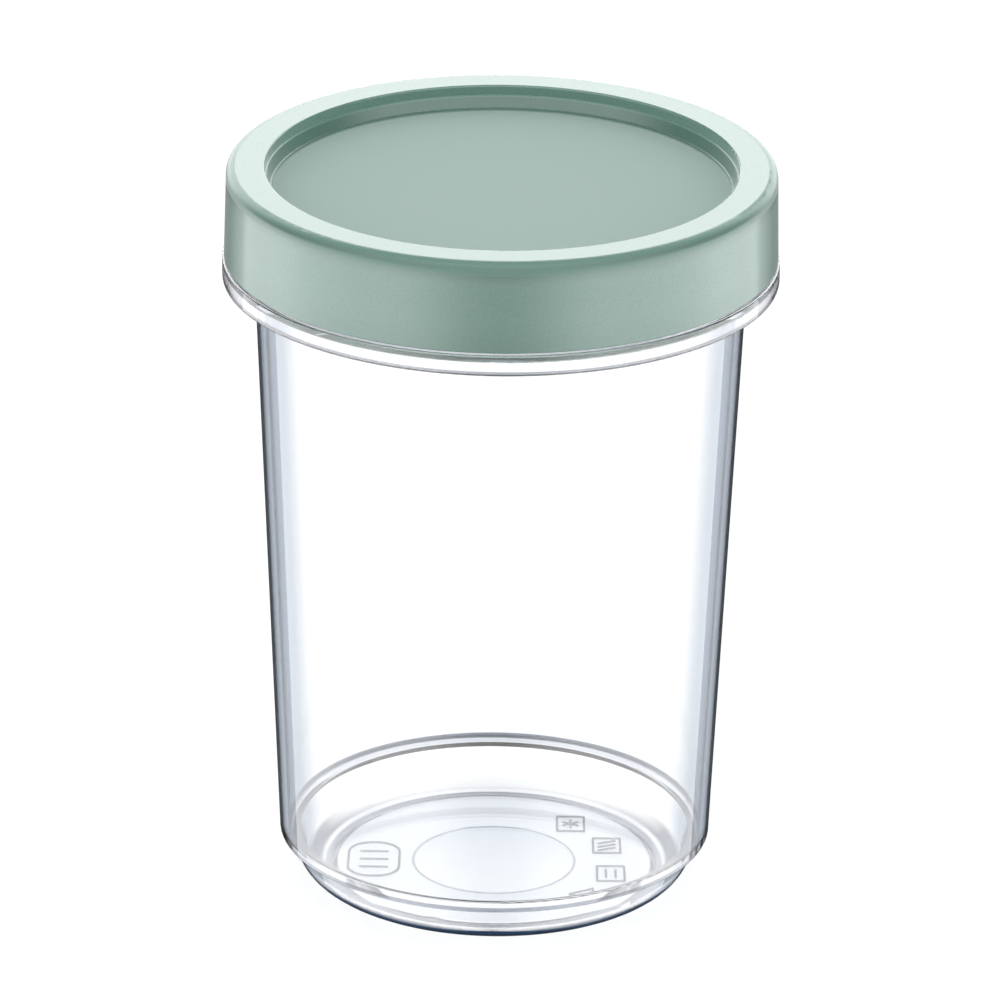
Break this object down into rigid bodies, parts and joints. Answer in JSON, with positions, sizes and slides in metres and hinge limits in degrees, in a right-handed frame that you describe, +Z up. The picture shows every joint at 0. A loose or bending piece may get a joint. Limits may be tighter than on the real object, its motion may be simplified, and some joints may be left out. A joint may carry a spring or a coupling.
{
  "type": "disinfectant jar",
  "caption": "Round clear storage and soaking jar with a stepped foot, a collar, and a screw lid with a recessed top and a flat seal.",
  "frame": {"origin": "centre of the ring that the jar stands on", "axes": "+Z up along the jar's axis; the jar is round, so +X and +Y only place the marks under the base and the thread's starts"},
  "size_m": [0.0916, 0.0916, 0.1253],
  "materials": {
    "clear_plastic": "clear, polished as moulded",
    "lid_plastic": "satin sage green with a fine grain, the recessed panel matte",
    "seal_rubber": "matte pale silicone"
  },
  "bodies": {
    "jar": {"jar": "clear_plastic"},
    "seal": {"seal_ring": "seal_rubber"},
    "lid": {"lid": "lid_plastic"}
  },
  "joints": [
    {"name": "lid_rise", "type": "slide", "parent": "jar", "child": "seal", "axis": [0, 0, 1], "range_m": [0, 0.0241]},
    {"name": "lid_turn", "type": "hinge", "parent": "seal", "child": "lid", "pos_m": [0, 0, 0.1253], "axis": [0, 0, 1], "range_deg": [0, 720]}
  ],
  "couplings": [
    {"joint": "lid_rise", "follows": "lid_turn", "m_per_rad": 0.0019099}
  ]
}
